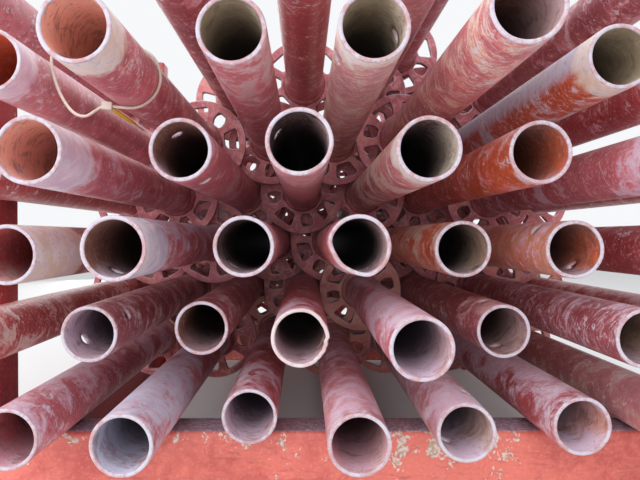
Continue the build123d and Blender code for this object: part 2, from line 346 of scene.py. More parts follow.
def makeRackPaint(name):
    # Brushed-on paint, chipped to pale primer, and rubbed grey where tubes slide
    s = rackPaintSettings
    own = s[name]
    material, g = newPaint(name)
    place = g.add("ShaderNodeTexCoord", out="Object")
    up, edge, height = (g.attribute(n) for n in ("skyward", "edge", "height"))
    broad = g.noise(place, s["broad"], 5.0)
    middle = g.noise(place, s["middle"], 8.0, 0.65, 1.2)
    fine = g.noise(place, s["fine"], 6.0)
    drag = g.noise(g.stretch(place, s["drag"]), 1.0, 4.0, 0.6)
    color = g.mix(g.rise(broad * 0.6 + middle * 0.4, 0.38, 0.6), own["deep"], own["bright"])
    color = g.mix(g.rise(fine, 0.45, 0.8) * 0.25, color, s["chalk"])
    brushed = g.noise(g.stretch(place, s["brush"]), 1.0, 6.0, 0.66, 1.4)
    brushDark = g.mix(0.5, own["deep"], s["brushShade"])
    color = g.mix(g.rise(brushed * 0.6 + middle * 0.4, 0.52, 0.62) * 0.45, color, brushDark)
    gathered = g.rise(height, 0.45, 0.95) * g.rise(broad, 0.45, 0.6) * 0.06
    flaking = middle * 0.65 + broad * 0.2 + fine * 0.15 + edge * 0.05 + gathered
    chips = g.rise(flaking, s["chipsFrom"] - own["chips"], s["chipsFull"] - own["chips"])
    color = g.mix(chips * 0.9, color, g.mix(g.rise(fine, 0.42, 0.6), *s["primer"]))
    scars = g.rise(fine * 0.35 + middle * 0.65, 0.64, 0.68)
    color = g.mix(scars * 0.7, color, s["scar"])
    # Wear: the tops rubbed grey where tubes slide
    wearAndSunPatch = g.rise(up, 0.7, 0.95) * g.rise(drag * 0.5 + middle * 0.5 + own["topWear"], 0.5, 0.62)
    color = g.mix(wearAndSunPatch * 0.9, color, g.mix(g.rise(fine, 0.4, 0.7), *s["rubbed"]))
    roughness = 0.42 + chips * 0.3 + wearAndSunPatch * 0.2 + fine * 0.12
    relief = broad * 0.5 + middle * 0.4 + fine * 0.25 - chips * 0.6 - scars * 0.4
    closePaint(g, color, roughness, relief, s["bump"])
    return material


plasticSettings = {
    "tiePlastic": {"color": (0.62, 0.53, 0.45), "grime": (0.42, 0.29, 0.23)},
    "tagPlastic": {"color": (0.88, 0.66, 0.04), "grime": (0.62, 0.42, 0.05)},
    "stains": 160.0,
    "fine": 1500.0,
    "bump": 0.2,
}


def makePlastic(name):
    s = plasticSettings
    material, g = newPaint(name)
    place = g.add("ShaderNodeTexCoord", out="Object")
    fine = g.noise(place, s["fine"], 4.0)
    stained = g.rise(g.noise(place, s["stains"], 4.0), 0.5, 0.75)
    tint = g.mix(stained * 0.5, s[name]["color"], s[name]["grime"])
    closePaint(g, tint, 0.35 + fine * 0.2, fine, s["bump"])
    return material


tubePaint = makeTubePaint()
rosettePaint = makeRosettePaint()
beamPaint = makeRackPaint("beamPaint")
rackPaint = makeRackPaint("rackPaint")
tiePlastic = makePlastic("tiePlastic")
tagPlastic = makePlastic("tagPlastic")
print("materials made")


def looseSolids(nodeName):
    # Each loose solid of a node, as a list of its corners
    bm = bmesh.new()
    bm.from_mesh(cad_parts[nodeName].data)
    bmesh.ops.remove_doubles(bm, verts=bm.verts, dist=1e-6)
    seen = set()
    solids = []
    for start in bm.verts:
        if start in seen:
            continue
        seen.add(start)
        queue = [start]
        corners = []
        while queue:
            vert = queue.pop()
            corners.append(vert.co.copy())
            for edge in vert.link_edges:
                other = edge.other_vert(vert)
                if other not in seen:
                    seen.add(other)
                    queue.append(other)
        solids.append(corners)
    bm.free()
    return solids


def middleOf(corners):
    xs, zs = [c.x for c in corners], [c.z for c in corners]
    return (min(xs) + max(xs)) / 2, (min(zs) + max(zs)) / 2


reading = {
    "rowCount": 7,
    "holeZone": (0.02, 0.05),           # where a pin hole's corners lie, from the mouth
    "openingCorners": (0.054, 0.056),   # how far out a wide opening's outer corners lie
}


def readTube(corners, rosettes):
    # Axis, mouth, and roll: from the pin hole's corners, or from the tube's first rosette
    x, z = middleOf(corners)
    mouth = min(c.y for c in corners)
    holeFrom, holeTo = reading["holeZone"]
    nearest, farthest = reading["openingCorners"]
    holeCorners = [c for c in corners if mouth + holeFrom < c.y < mouth + holeTo]
    rosette = min(rosettes, key=lambda solid: math.dist(middleOf(solid), (x, z)))
    turns = [math.atan2(c.z - z, c.x - x) for c in rosette
             if nearest < math.hypot(c.x - x, c.z - z) < farthest]
    rosetteRoll = -cmath.phase(sum(cmath.exp(4j * turn) for turn in turns)) / 4
    doubled = sum(cmath.exp(2j * math.atan2(c.x - x, c.z - z)) for c in holeCorners)
    roll = cmath.phase(doubled) / 2 if holeCorners else rosetteRoll
    return {"x": x, "z": z, "mouth": mouth, "drilled": bool(holeCorners),
            "roll": roll, "rosetteRoll": rosetteRoll}


rows = []
for rowNumber in range(1, reading["rowCount"] + 1):
    rosettes = looseSolids(f"rosettes_row_{rowNumber}")
    tubes = [readTube(corners, rosettes) for corners in looseSolids(f"tubes_row_{rowNumber}")]
    rows.append(sorted(tubes, key=lambda tube: tube["x"]))
drilledCount = sum(tube["drilled"] for row in rows for tube in row)
print("tubes found:", [len(row) for row in rows], "drilled:", drilledCount)


def bridge(bm, first, second):
    # Faces all the way round between two rings
    for k in range(len(first)):
        n = (k + 1) % len(first)
        bm.faces.new([first[k], first[n], second[n], second[k]])


tubeSizes = {
    "radius": 0.02415,
    "wall": 0.0032,
    "length": 1.0,
    "sides": 48,
    "holeRadius": 0.0055,
    "holeFromEnd": 0.035,
    "holeBlock": 6,         # cells each way that a pin hole takes the place of
    "holeBreak": 0.0006,    # how much wider the hole's broken edge is
    "holeBreakDepth": 0.0005,
    "edgeRound": 0.0006,
    "rowsToHole": [0.0014, 0.005, 0.011, 0.018],
    "rowsPastHole": [0.052, 0.062, 0.075, 0.09, 0.11, 0.14, 0.18],
    "farRows": 10,
    "farSpacing": 0.0811,
    "endRow": 0.0014,
    "rubReach": 0.004,      # the rim's rubbed metal runs this far onto the walls
    "rubAtWall": 0.26,
}


def tubeMesh(drilled):
    # Outer and inner wall with rounded rims; a drilled tube has a cross hole with a broken edge
    s = tubeSizes
    sides, half = s["sides"], s["holeBlock"] // 2
    outer, inner = s["radius"], s["radius"] - s["wall"]
    cell = 2 * math.pi * outer / sides
    holeRows = [s["holeFromEnd"] + (k - half) * cell for k in range(2 * half + 1)]
    rowsAlong = s["rowsToHole"] + holeRows + s["rowsPastHole"]
    rowsAlong += [s["rowsPastHole"][-1] + s["farSpacing"] * k for k in range(1, s["farRows"] + 1)]
    rowsAlong.append(s["length"] - s["endRow"])
    firstHoleRow = rowsAlong.index(holeRows[0])
    holeRowsEnd = firstHoleRow + 2 * half
    e = s["edgeRound"]
    # Radius of each ring round the rim, and how far it lies behind the mouth
    rimRound = [(outer - 0.0001, e * 1.2), (outer - e * 0.6, e * 0.3), (outer - e * 1.8, 0.0),
                (inner + e * 1.6, 0.0), (inner + e * 0.5, e * 0.4), (inner, e * 1.5)]
    bm = bmesh.new()
    alongLayer = bm.verts.layers.float_vector.new("alongTube")
    fromMouthLayer = bm.verts.layers.float.new("fromMouth")
    rimLayer = bm.verts.layers.float.new("rim")
    boreLayer = bm.verts.layers.float.new("bore")

    def point(radius, angle, y, rim, bore):
        vert = bm.verts.new((radius * math.sin(angle), y, radius * math.cos(angle)))
        vert[alongLayer] = vert.co
        vert[fromMouthLayer] = y
        vert[rimLayer] = rim
        vert[boreLayer] = bore
        return vert

    def columnInBlock(side):
        return (side + half) % (sides // 2)   # the hole goes through both walls

    def inHole(side, row):
        return drilled and 0 < columnInBlock(side) < 2 * half and firstHoleRow < row < holeRowsEnd

    def inBlock(side, row):
        return drilled and columnInBlock(side) < 2 * half and firstHoleRow <= row < holeRowsEnd

    def wallOf(radius, bore):
        grid = []
        for row, y in enumerate(rowsAlong):
            near = min(y, s["length"] - y)
            rim = max(0.0, 1 - near / s["rubReach"]) * s["rubAtWall"]
            grid.append([None if inHole(side, row) else
                         point(radius, side * 2 * math.pi / sides, y, rim, bore) for side in range(sides)])
        for row in range(len(rowsAlong) - 1):
            for side in range(sides):
                if not inBlock(side, row):
                    bm.faces.new([grid[row][side], grid[row][(side + 1) % sides],
                                  grid[row + 1][(side + 1) % sides], grid[row + 1][side]])
        return grid

    outerGrid = wallOf(outer, 0.0)
    innerGrid = wallOf(inner, 1.0)

    def blockEdge(grid, middleSide):
        # The corners round a hole's block, once round
        low, high = firstHoleRow, holeRowsEnd
        ring = [(low, k) for k in range(-half, half)]
        ring += [(row, half) for row in range(low, high)]
        ring += [(high, k) for k in range(half, -half, -1)]
        ring += [(row, -half) for row in range(high, low, -1)]
        return [grid[row][(middleSide + k) % sides] for row, k in ring]

    def holeRing(block, radius, holeRadius, middleAngle, rim, bore):
        # Draws a block's corners in to the hole's circle
        ring = []
        cosine, sine = math.cos(middleAngle), math.sin(middleAngle)
        for corner in block:
            turned = math.atan2(corner.co.x * cosine - corner.co.z * sine,
                                corner.co.x * sine + corner.co.z * cosine)
            wayRound = math.atan2(corner.co.y - s["holeFromEnd"], turned * outer)
            across = holeRadius * math.cos(wayRound)
            angle = middleAngle + math.asin(across / radius)
            ring.append(point(radius, angle, s["holeFromEnd"] + holeRadius * math.sin(wayRound), rim, bore))
        return ring

    for middleSide in (0, sides // 2) if drilled else ():
        middleAngle = middleSide * 2 * math.pi / sides
        outerBlock = blockEdge(outerGrid, middleSide)
        innerBlock = blockEdge(innerGrid, middleSide)
        radius = s["holeRadius"]
        lip = holeRing(outerBlock, outer, radius + s["holeBreak"], middleAngle, 0.4, 0.0)
        edge = holeRing(outerBlock, outer - s["holeBreakDepth"], radius, middleAngle, 0.8, 0.0)
        inside = holeRing(innerBlock, inner, radius, middleAngle, 0.5, 1.0)
        rings = [outerBlock, lip, edge, inside, innerBlock]
        for first, second in zip(rings, rings[1:]):
            bridge(bm, first, second)

    for atRear in (False, True):
        last = -1 if atRear else 0
        rings = [outerGrid[last]]
        for index, (radius, y) in enumerate(rimRound):
            y = s["length"] - y if atRear else y
            bore = 1.0 if index == len(rimRound) - 1 else 0.0
            rings.append([point(radius, side * 2 * math.pi / sides, y, 1.0, bore) for side in range(sides)])
        rings.append(innerGrid[last])
        for first, second in zip(rings, rings[1:]):
            bridge(bm, first, second)
    smoothAll(bm)
    return meshFrom(bm, "tubePattern")


rosetteSizes = {
    "radius": 0.062,
    "thickness": 0.010,
    "seat": 0.02412,
    "openingRoot": 0.032,
    "openingRim": 0.052,
    "smallRootWidth": 0.011,
    "smallRimWidth": 0.018,
    "smallShoulder": 0.039,
    "wideRootWidth": 0.020,
    "wideRimWidth": 0.034,
    "wideRounding": [0.004, 0.0045, 0.0045, 0.004],
    "smallRounding": [0.003, 0.004, 0.0055, 0.0055, 0.004, 0.003],
    "rimSides": 56,
    "seatSides": 32,
    "edgeBevel": 0.0009,
    "sharpFrom": 1.2,       # radians; edges bent more than this are bevelled
    "weldFoot": 0.0239,
    "weldLeg": 0.0052,
    "weldSides": 40,
    # out and up, in weld legs
    "weldProfile": ((1.05, -0.06), (0.86, 0.30), (0.55, 0.66), (0.22, 0.93), (-0.05, 1.02)),
    "lumpHeight": 0.22,
    "rippleHeight": 0.05,
    "ripples": 26,
    "seed": 7,
}


def roundedLoop(corners, radii, steps):
    # A closed outline with each corner rounded
    loop = []
    count = len(corners)
    for k in range(count):
        before, corner, after = Vector(corners[k - 1]), Vector(corners[k]), Vector(corners[(k + 1) % count])
        toBefore = (before - corner).normalized()
        toAfter = (after - corner).normalized()
        halfAngle = toBefore.angle(toAfter) / 2
        reach = radii[k] / math.tan(halfAngle)
        start, end = corner + toBefore * reach, corner + toAfter * reach
        for step in range(steps + 1):
            t = step / steps
            loop.append((1 - t) ** 2 * start + 2 * t * (1 - t) * corner + t ** 2 * end)
    return loop


def rosetteMesh():
    s = rosetteSizes
    bm = bmesh.new()

    def addLoop(points):
        verts = [bm.verts.new((p[0], 0.0, p[1])) for p in points]
        return [bm.edges.new((verts[k], verts[(k + 1) % len(verts)])) for k in range(len(verts))]

    def circle(radius, sides):
        return [(radius * math.cos(2 * math.pi * k / sides), radius * math.sin(2 * math.pi * k / sides))
                for k in range(sides)]

    edges = addLoop(circle(s["radius"], s["rimSides"])) + addLoop(circle(s["seat"], s["seatSides"]))
    root, shoulder, rim = s["openingRoot"], s["smallShoulder"], s["openingRim"]
    wideRoot, wideRim = s["wideRootWidth"] / 2, s["wideRimWidth"] / 2
    smallRoot, smallRim = s["smallRootWidth"] / 2, s["smallRimWidth"] / 2
    wide = roundedLoop([(root, -wideRoot), (rim, -wideRim), (rim, wideRim), (root, wideRoot)],
                       s["wideRounding"], 3)
    small = roundedLoop([(root, -smallRoot), (shoulder, -smallRim), (rim, -smallRim),
                         (rim, smallRim), (shoulder, smallRim), (root, smallRoot)],
                        s["smallRounding"], 2)
    for k in range(8):
        turn = Matrix.Rotation(k * math.pi / 4, 2)
        edges += addLoop([turn @ p for p in (small if k % 2 else wide)])
    bmesh.ops.triangle_fill(bm, edges=edges, use_beauty=True, normal=(0, -1, 0))
    front = list(bm.faces)
    extruded = bmesh.ops.extrude_face_region(bm, geom=front, use_keep_orig=True)
    moved = [g for g in extruded["geom"] if isinstance(g, bmesh.types.BMVert)]
    bmesh.ops.translate(bm, verts=moved, vec=(0, s["thickness"], 0))
    bmesh.ops.recalc_face_normals(bm, faces=bm.faces)
    sharp = [e for e in bm.edges if len(e.link_faces) == 2 and e.calc_face_angle() > s["sharpFrom"]]
    bevelled = bmesh.ops.bevel(bm, geom=sharp, offset=s["edgeBevel"], segments=1,
                               affect="EDGES", profile=0.6)
    edgeLayer = bm.loops.layers.float.new("edge")
    for face in bevelled["faces"]:
        for loop in face.loops:
            loop[edgeLayer] = 1.0
    plateFaces = set(bm.faces)

    alongLayer = bm.verts.layers.float_vector.new("alongTube")
    weldLayer = bm.verts.layers.float.new("weld")
    for faceY, side in ((0.0, -1), (s["thickness"], 1)):
        rings = []
        for index, (out, up) in enumerate(s["weldProfile"]):
            ring = []
            for k in range(s["weldSides"]):
                angle = 2 * math.pi * k / s["weldSides"]
                lump = noise.noise(Vector((math.cos(angle) * 3 + side * 9, math.sin(angle) * 3, s["seed"])))
                ripple = s["rippleHeight"] * math.sin(angle * s["ripples"] + 2.0 * out)
                size = s["weldLeg"] * (1 + s["lumpHeight"] * lump + (ripple if 0 < index < 4 else 0))
                radius = s["weldFoot"] + out * size
                ring.append(bm.verts.new((radius * math.cos(angle), faceY + side * up * size,
                                          radius * math.sin(angle))))
            rings.append(ring)
        rings.append(rings[0])   # the hidden back closes the bead
        for first, second in zip(rings, rings[1:]):
            bridge(bm, first, second)
    beadFaces = [f for f in bm.faces if f not in plateFaces]
    bmesh.ops.recalc_face_normals(bm, faces=beadFaces)
    for face in beadFaces:
        face.smooth = True
        for vert in face.verts:
            vert[weldLayer] = 1.0
    for vert in bm.verts:
        vert[alongLayer] = vert.co
    return meshFrom(bm, "rosettePattern")


# How each tube looks, row by row from the left: the tints of its coat, its patches and its dust with painted
# sky sheen, of its bore's lip (painted shade where black, painted sunlight in the lit bores) and of the
# painted light on the bore's right flank, then how much dust and sheen, strokes and painted sunlit band
wearTable = [
    [("pinkRed", "dusky", "lavender", "pinkRed", "red", .9, .5, 0),
     ("pinkRed", "lavender", "blueGrey", "blueGrey", "dusky", .9, .7, .2),
     ("red", "rosy", "lavender", "lavender", "dusky", .5, .4, 0),
     ("rosy", "pinkRed", "lavender", "rosy", "dusky", .4, .5, .1),
     ("rosy", "dusky", "lavender", "lavender", "tan", 1., .5, .1),
     ("red", "rosy", "lavender", "lavender", "peach", .8, .6, .1),
     ("rosy", "tan", "dusky", "rosy", "red", .3, .3, 0)],
    [("red", "cream", "dusky", "red", "red", .4, .3, 0),
     ("maroon", "dusky", "dusky", "lavender", "brown", .55, .7, 0),
     ("maroon", "brown", "dusky", "brown", "brown", .4, .4, 0),
     ("red", "maroon", "lavender", "dusky", "brown", .3, .3, 0),
     ("pinkRed", "lavender", "lavender", "lavender", "dusky", .75, .5, .2),
     ("maroon", "rosy", "dusky", "brown", "dusky", .35, .3, 0),
     ("maroon", "red", "lavender", "brown", "tan", .4, .7, .1),
     ("red", "rosy", "dusky", "red", "red", .5, .3, 0)],
    [("maroon", "cream", "cream", "red", "maroon", .7, .4, 2.2),
     ("pinkRed", "lavender", "blueGrey", "brown", "dusky", 1., .5, 1.6),
     ("maroon", "rosy", "dusky", "soot", "brown", .4, .3, 0),
     ("red", "rosy", "lavender", "soot", "dusky", .4, .4, 0),
     ("orange", "peach", "cream", "soot", "tan", .5, .6, .3),
     ("peach", "orange", "lavender", "brown", "orange", .5, .5, .1),
     ("red", "rosy", "lavender", "red", "red", .4, .3, 0)],
    [("red", "maroon", "dusky", "red", "red", .4, .3, 0),
     ("pinkRed", "rosy", "lavender", "salmon", "rosy", .4, .4, 1.3),
     ("pinkRed", "rosy", "lavender", "brown", "brown", .4, .4, .1),
     ("rosy", "pinkRed", "dusky", "soot", "dusky", .5, .5, .1),
     ("pinkRed", "cream", "cream", "soot", "cream", .85, .9, .5),
     ("orange", "pinkRed", "dusky", "brown", "orange", .45, .4, .1),
     ("pinkRed", "lavender", "lavender", "red", "red", .4, .3, 0),
     ("red", "rosy", "lavender", "red", "red", .5, .4, 0)],
    [("rosy", "pinkRed", "lavender", "orange", "orange", .35, .3, .7),
     ("pinkRed", "rosy", "cream", "salmon", "salmon", .45, .5, .8),
     ("pinkRed", "dusky", "dusky", "olive", "cream", .35, .7, 0),
     ("rosy", "tan", "cream", "olive", "cream", .7, .9, .4),
     ("pinkRed", "peach", "cream", "brown", "dusky", .3, .9, .1),
     ("orange", "blueGrey", "cream", "olive", "olive", .3, .5, .7),
     ("red", "rosy", "lavender", "red", "red", .4, .3, 0)],
    [("rosy", "maroon", "lavender", "brown", "red", .4, .3, 0),
     ("maroon", "rosy", "lavender", "brown", "brown", .4, .3, 0),
     ("red", "maroon", "dusky", "brown", "brown", .3, .3, 0),
     ("rosy", "pinkRed", "dusky", "brown", "brown", .4, .4, 0),
     ("maroon", "rosy", "lavender", "brown", "brown", .4, .4, 0),
     ("maroon", "rosy", "lavender", "brown", "brown", .4, .3, 0)],
    [("rosy", "maroon", "lavender", "brown", "brown", .4, .3, 0)],
]
# How strongly a tube's upper left side takes its patches' tint as painted light, and how far painted sunlight
# keeps its bore pale inwards
leftPatched = {(5, 6): 0.95, (5, 4): 0.35, (3, 2): 0.3}
litBores = {(5, 1): 1.0, (5, 2): 1.0, (4, 2): 1.0, (3, 1): 0.7, (4, 6): 0.4}
# Bent or bitten mouths: the way the dent lies in degrees from the top, and its depth in mm
dents = {
    (3, 4): {"dentTurn": 222, "dentDepth": 3.8, "dentWidth": 0.6},
    (2, 4): {"dentTurn": 95, "dentDepth": 0.6, "dentWidth": 0.9, "bite": 3.4},
    (4, 2): {"dentTurn": 300, "dentDepth": 0.8, "dentWidth": 0.5},
    (5, 5): {"dentTurn": 150, "dentDepth": 1.0, "dentWidth": 0.6},
    (1, 5): {"dentTurn": 40, "dentDepth": 0.9, "dentWidth": 0.6},
}


def seedMesh(rowNumber, row):
    # One point at each mouth, with the values that set its tube apart
    mesh = bpy.data.meshes.new("seeds")
    mesh.from_pydata([(tube["x"], tube["mouth"], tube["z"]) for tube in row], [], [])
    columns = {}
    for place, tube in enumerate(row, start=1):
        *tintNames, hazeAmount, strokeAmount, band = wearTable[rowNumber - 1][place - 1]
        where = (rowNumber, place)
        dent = dents.get(where, {})
        values = dict(zip(("coat", "patch", "haze", "lip", "flank"), (tints[name] for name in tintNames)))
        values.update(hazeAmount=hazeAmount, strokeAmount=strokeAmount, band=band,
                      leftPatched=leftPatched.get(where, 0.0), litBore=litBores.get(where, 0.0),
                      roll=tube["roll"], rosetteRoll=tube["rosetteRoll"], drilled=float(tube["drilled"]),
                      tubeId=rowNumber * 10.0 + place, axisX=tube["x"], axisZ=tube["z"],
                      dentTurn=math.radians(dent.get("dentTurn", 0)),
                      dentDepth=dent.get("dentDepth", 0) / 1000,
                      dentWidth=dent.get("dentWidth", 0.5), bite=dent.get("bite", 0) / 1000)
        for key, value in values.items():
            columns.setdefault(key, []).append(value)
    for key, values in columns.items():
        if isinstance(values[0], tuple):
            flat = [number for value in values for number in value]
            mesh.attributes.new(key, "FLOAT_VECTOR", "POINT").data.foreach_set("vector", flat)
        else:
            mesh.attributes.new(key, "FLOAT", "POINT").data.foreach_set("value", values)
    return mesh


def named(g, name):
    return g.add("GeometryNodeInputNamedAttribute", {"data_type": "FLOAT"}, {"Name": name})


def newTree(name, inputs):
    # A node group's graph, its inputs' identifiers by label, and a wire from each input
    tree = bpy.data.node_groups.new(name, "GeometryNodeTree")
    identifiers = {}
    for label, kind in inputs.items():
        socket = tree.interface.new_socket(label, in_out="INPUT", socket_type="NodeSocket" + kind)
        identifiers[label] = socket.identifier
    tree.interface.new_socket("Geometry", in_out="OUTPUT", socket_type="NodeSocketGeometry")
    g = Graph(tree)
    group = g.add("NodeGroupInput", out=None)
    return g, identifiers, [Wire(g, group.outputs[k]) for k in range(len(inputs))]


def lay(g, join, holder, points, turn, chosen=True):
    # Sets the holder's mesh on each chosen point
    pattern = g.add("GeometryNodeObjectInfo", None, {"Object": holder, "As Instance": True}, out="Geometry")
    laid = g.add("GeometryNodeInstanceOnPoints", None,
                 {"Points": points, "Selection": chosen, "Instance": pattern, "Rotation": turn})
    g.tree.links.new(laid.socket, join.inputs[0])


def closeTree(g, geometry, paint):
    # Stores which way each corner faces, and gives the whole its paint
    parts = g.add("ShaderNodeSeparateXYZ", None, {0: g.add("GeometryNodeInputNormal")}, out=None)
    for name, part in (("skyward", 2), ("sideways", 0)):
        geometry = g.add("GeometryNodeStoreNamedAttribute", {"data_type": "FLOAT", "domain": "POINT"},
                         {"Geometry": geometry, "Name": name, "Value": Wire(g, parts.outputs[part])})
    painted = g.add("GeometryNodeSetMaterial", None, {"Geometry": geometry, "Material": paint})
    end = g.add("NodeGroupOutput", out=None)
    g.tree.links.new(painted.socket, end.inputs[0])


mouthShape = {
    "wobble": 0.0007,
    "wobbleReach": 0.05,
    "firstSeed": 3.0,
    "dentReach": 0.03,
    "biteReach": 0.004,
    "lumpScale": 0.9,
    "jagScale": 8.5,
}


def makeTubeTree():
    # Sets a plain or drilled tube on each mouth, then gives each its own wobble, dent and nick
    s = mouthShape
    g, identifiers, wires = newTree("laidTubes", {
        "Geometry": "Geometry", "Plain Tube": "Object", "Drilled Tube": "Object",
        "Wobble": "Float", "Wobble Reach": "Float", "Seed": "Float", "Paint": "Material"})
    seeds, plain, drilled, wobble, reach, seed, paint = wires
    turn = g.combined(y=named(g, "roll"))
    join = g.add("GeometryNodeJoinGeometry", out=None)
    lay(g, join, plain, seeds, turn, 1 - named(g, "drilled"))
    lay(g, join, drilled, seeds, turn, named(g, "drilled"))
    solid = g.add("GeometryNodeRealizeInstances", None, {"Geometry": Wire(g, join.outputs[0])})

    parts = g.add("ShaderNodeSeparateXYZ", None, {0: g.add("GeometryNodeInputPosition")}, out=None)
    x = Wire(g, parts.outputs[0]) - named(g, "axisX")
    z = Wire(g, parts.outputs[2]) - named(g, "axisZ")
    depth = named(g, "fromMouth")
    outwards = g.vector("NORMALIZE", g.combined(x=x, z=z))
    fade = g.math("EXPONENT", (0 - depth) / reach)
    drift = g.combined(x=seed, y=depth * 6 + named(g, "tubeId") * 3.7)
    lump = g.noise(g.vector("ADD", outwards, drift), s["lumpScale"], 1.0, 0.5)
    dentTurn = named(g, "dentTurn")
    dentWay = g.combined(x=g.math("SINE", dentTurn), z=g.math("COSINE", dentTurn))
    facing = g.vector("DOT_PRODUCT", outwards, dentWay, out="Value")
    inDent = g.rise(facing, 1 - named(g, "dentWidth"), 1.0)
    dented = inDent * g.math("EXPONENT", (0 - depth) / s["dentReach"]) * named(g, "dentDepth")
    jag = g.noise(outwards, s["jagScale"], 4.0, 0.7)
    bitten = inDent * g.math("EXPONENT", (0 - depth) / s["biteReach"]) * named(g, "bite")
    biting = g.math("MAXIMUM", jag * 2.2 - 0.6, 0.0) * bitten
    radial = (lump - 0.5) * wobble * fade - dented + (jag - 0.58) * 3 * bitten
    offset = g.vector("ADD", g.scaled(outwards, radial), g.combined(y=biting))
    moved = g.add("GeometryNodeSetPosition", None, {"Geometry": solid, "Offset": offset})
    closeTree(g, moved, paint)
    return g.tree, identifiers


rosettePlaces = {"count": 2, "first": 0.415, "spacing": 0.5}


def makeRosetteTree():
    # Sets rosettes along each tube, turned as the tube is
    g, identifiers, wires = newTree("laidRosettes", {
        "Geometry": "Geometry", "Rosette": "Object", "First": "Float", "Spacing": "Float",
        "Paint": "Material"})
    seeds, rosette, first, spacing, paint = wires
    turn = g.combined(y=named(g, "rosetteRoll"))
    join = g.add("GeometryNodeJoinGeometry", out=None)
    for index in range(rosettePlaces["count"]):
        shift = g.combined(y=first + spacing * float(index))
        moved = g.add("GeometryNodeSetPosition", None, {"Geometry": seeds, "Offset": shift})
        lay(g, join, rosette, moved, turn)
    solid = g.add("GeometryNodeRealizeInstances", None, {"Geometry": Wire(g, join.outputs[0])})
    closeTree(g, solid, paint)
    return g.tree, identifiers


def bake(name, mesh, tree, identifiers, values):
    # Runs a tree on a mesh and keeps what comes out as a plain mesh
    carrier = placed(name, mesh)
    modifier = carrier.modifiers.new("nodes", "NODES")
    modifier.node_group = tree
    for label, value in values.items():
        modifier[identifiers[label]] = value
    bpy.context.view_layer.update()
    evaluated = carrier.evaluated_get(bpy.context.evaluated_depsgraph_get())
    baked = bpy.data.meshes.new_from_object(evaluated)
    carrier.modifiers.clear()
    carrier.data = baked
    baked.name = name
    return carrier


def handOver(piece, node):
    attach(piece, "root")
    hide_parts(node)


plainTube = placed("plainTube", tubeMesh(drilled=False))
drilledTube = placed("drilledTube", tubeMesh(drilled=True))
rosettePattern = placed("rosettePattern", rosetteMesh())
tubeTree, tubeInputs = makeTubeTree()
rosetteTree, rosetteInputs = makeRosetteTree()
for rowNumber, row in enumerate(rows, start=1):
    tubesPiece = bake(f"tubes-row-{rowNumber}", seedMesh(rowNumber, row), tubeTree, tubeInputs,
                      {"Plain Tube": plainTube, "Drilled Tube": drilledTube,
                       "Wobble": mouthShape["wobble"], "Wobble Reach": mouthShape["wobbleReach"],
                       "Seed": mouthShape["firstSeed"] + rowNumber, "Paint": tubePaint})
    handOver(tubesPiece, f"tubes_row_{rowNumber}")
    rosettesPiece = bake(f"rosettes-row-{rowNumber}", seedMesh(rowNumber, row),
                         rosetteTree, rosetteInputs,
                         {"Rosette": rosettePattern, "First": rosettePlaces["first"],
                          "Spacing": rosettePlaces["spacing"], "Paint": rosettePaint})
    handOver(rosettesPiece, f"rosettes_row_{rowNumber}")
for pattern in (plainTube, drilledTube, rosettePattern):
    bpy.data.objects.remove(pattern)
print("tubes and rosettes laid")


def finishPiece(node, bm, material):
    # Stores how far each corner faces up, and hands the mesh over in its node's stead
    name = node.replace("_", "-")
    bm.normal_update()
    upLayer = bm.verts.layers.float.new("skyward")
    for vert in bm.verts:
        vert[upLayer] = vert.normal.z
    mesh = meshFrom(bm, name)
    mesh.materials.append(material)
    handOver(placed(name, mesh), node)


rackSizes = {
    "wall": 0.003,
    "corner": 0.005,
    "cornerSteps": 4,
    "ringEvery": 0.05,
    "pointEvery": 0.02,
    "endRound": 0.0006,
    "innerEndRound": 0.0004,
    "endInset": 0.0008,
    "rough": 0.00035,
    "broadLumps": 14,
    "fineLumps": 45,
    "seed": 11,
}


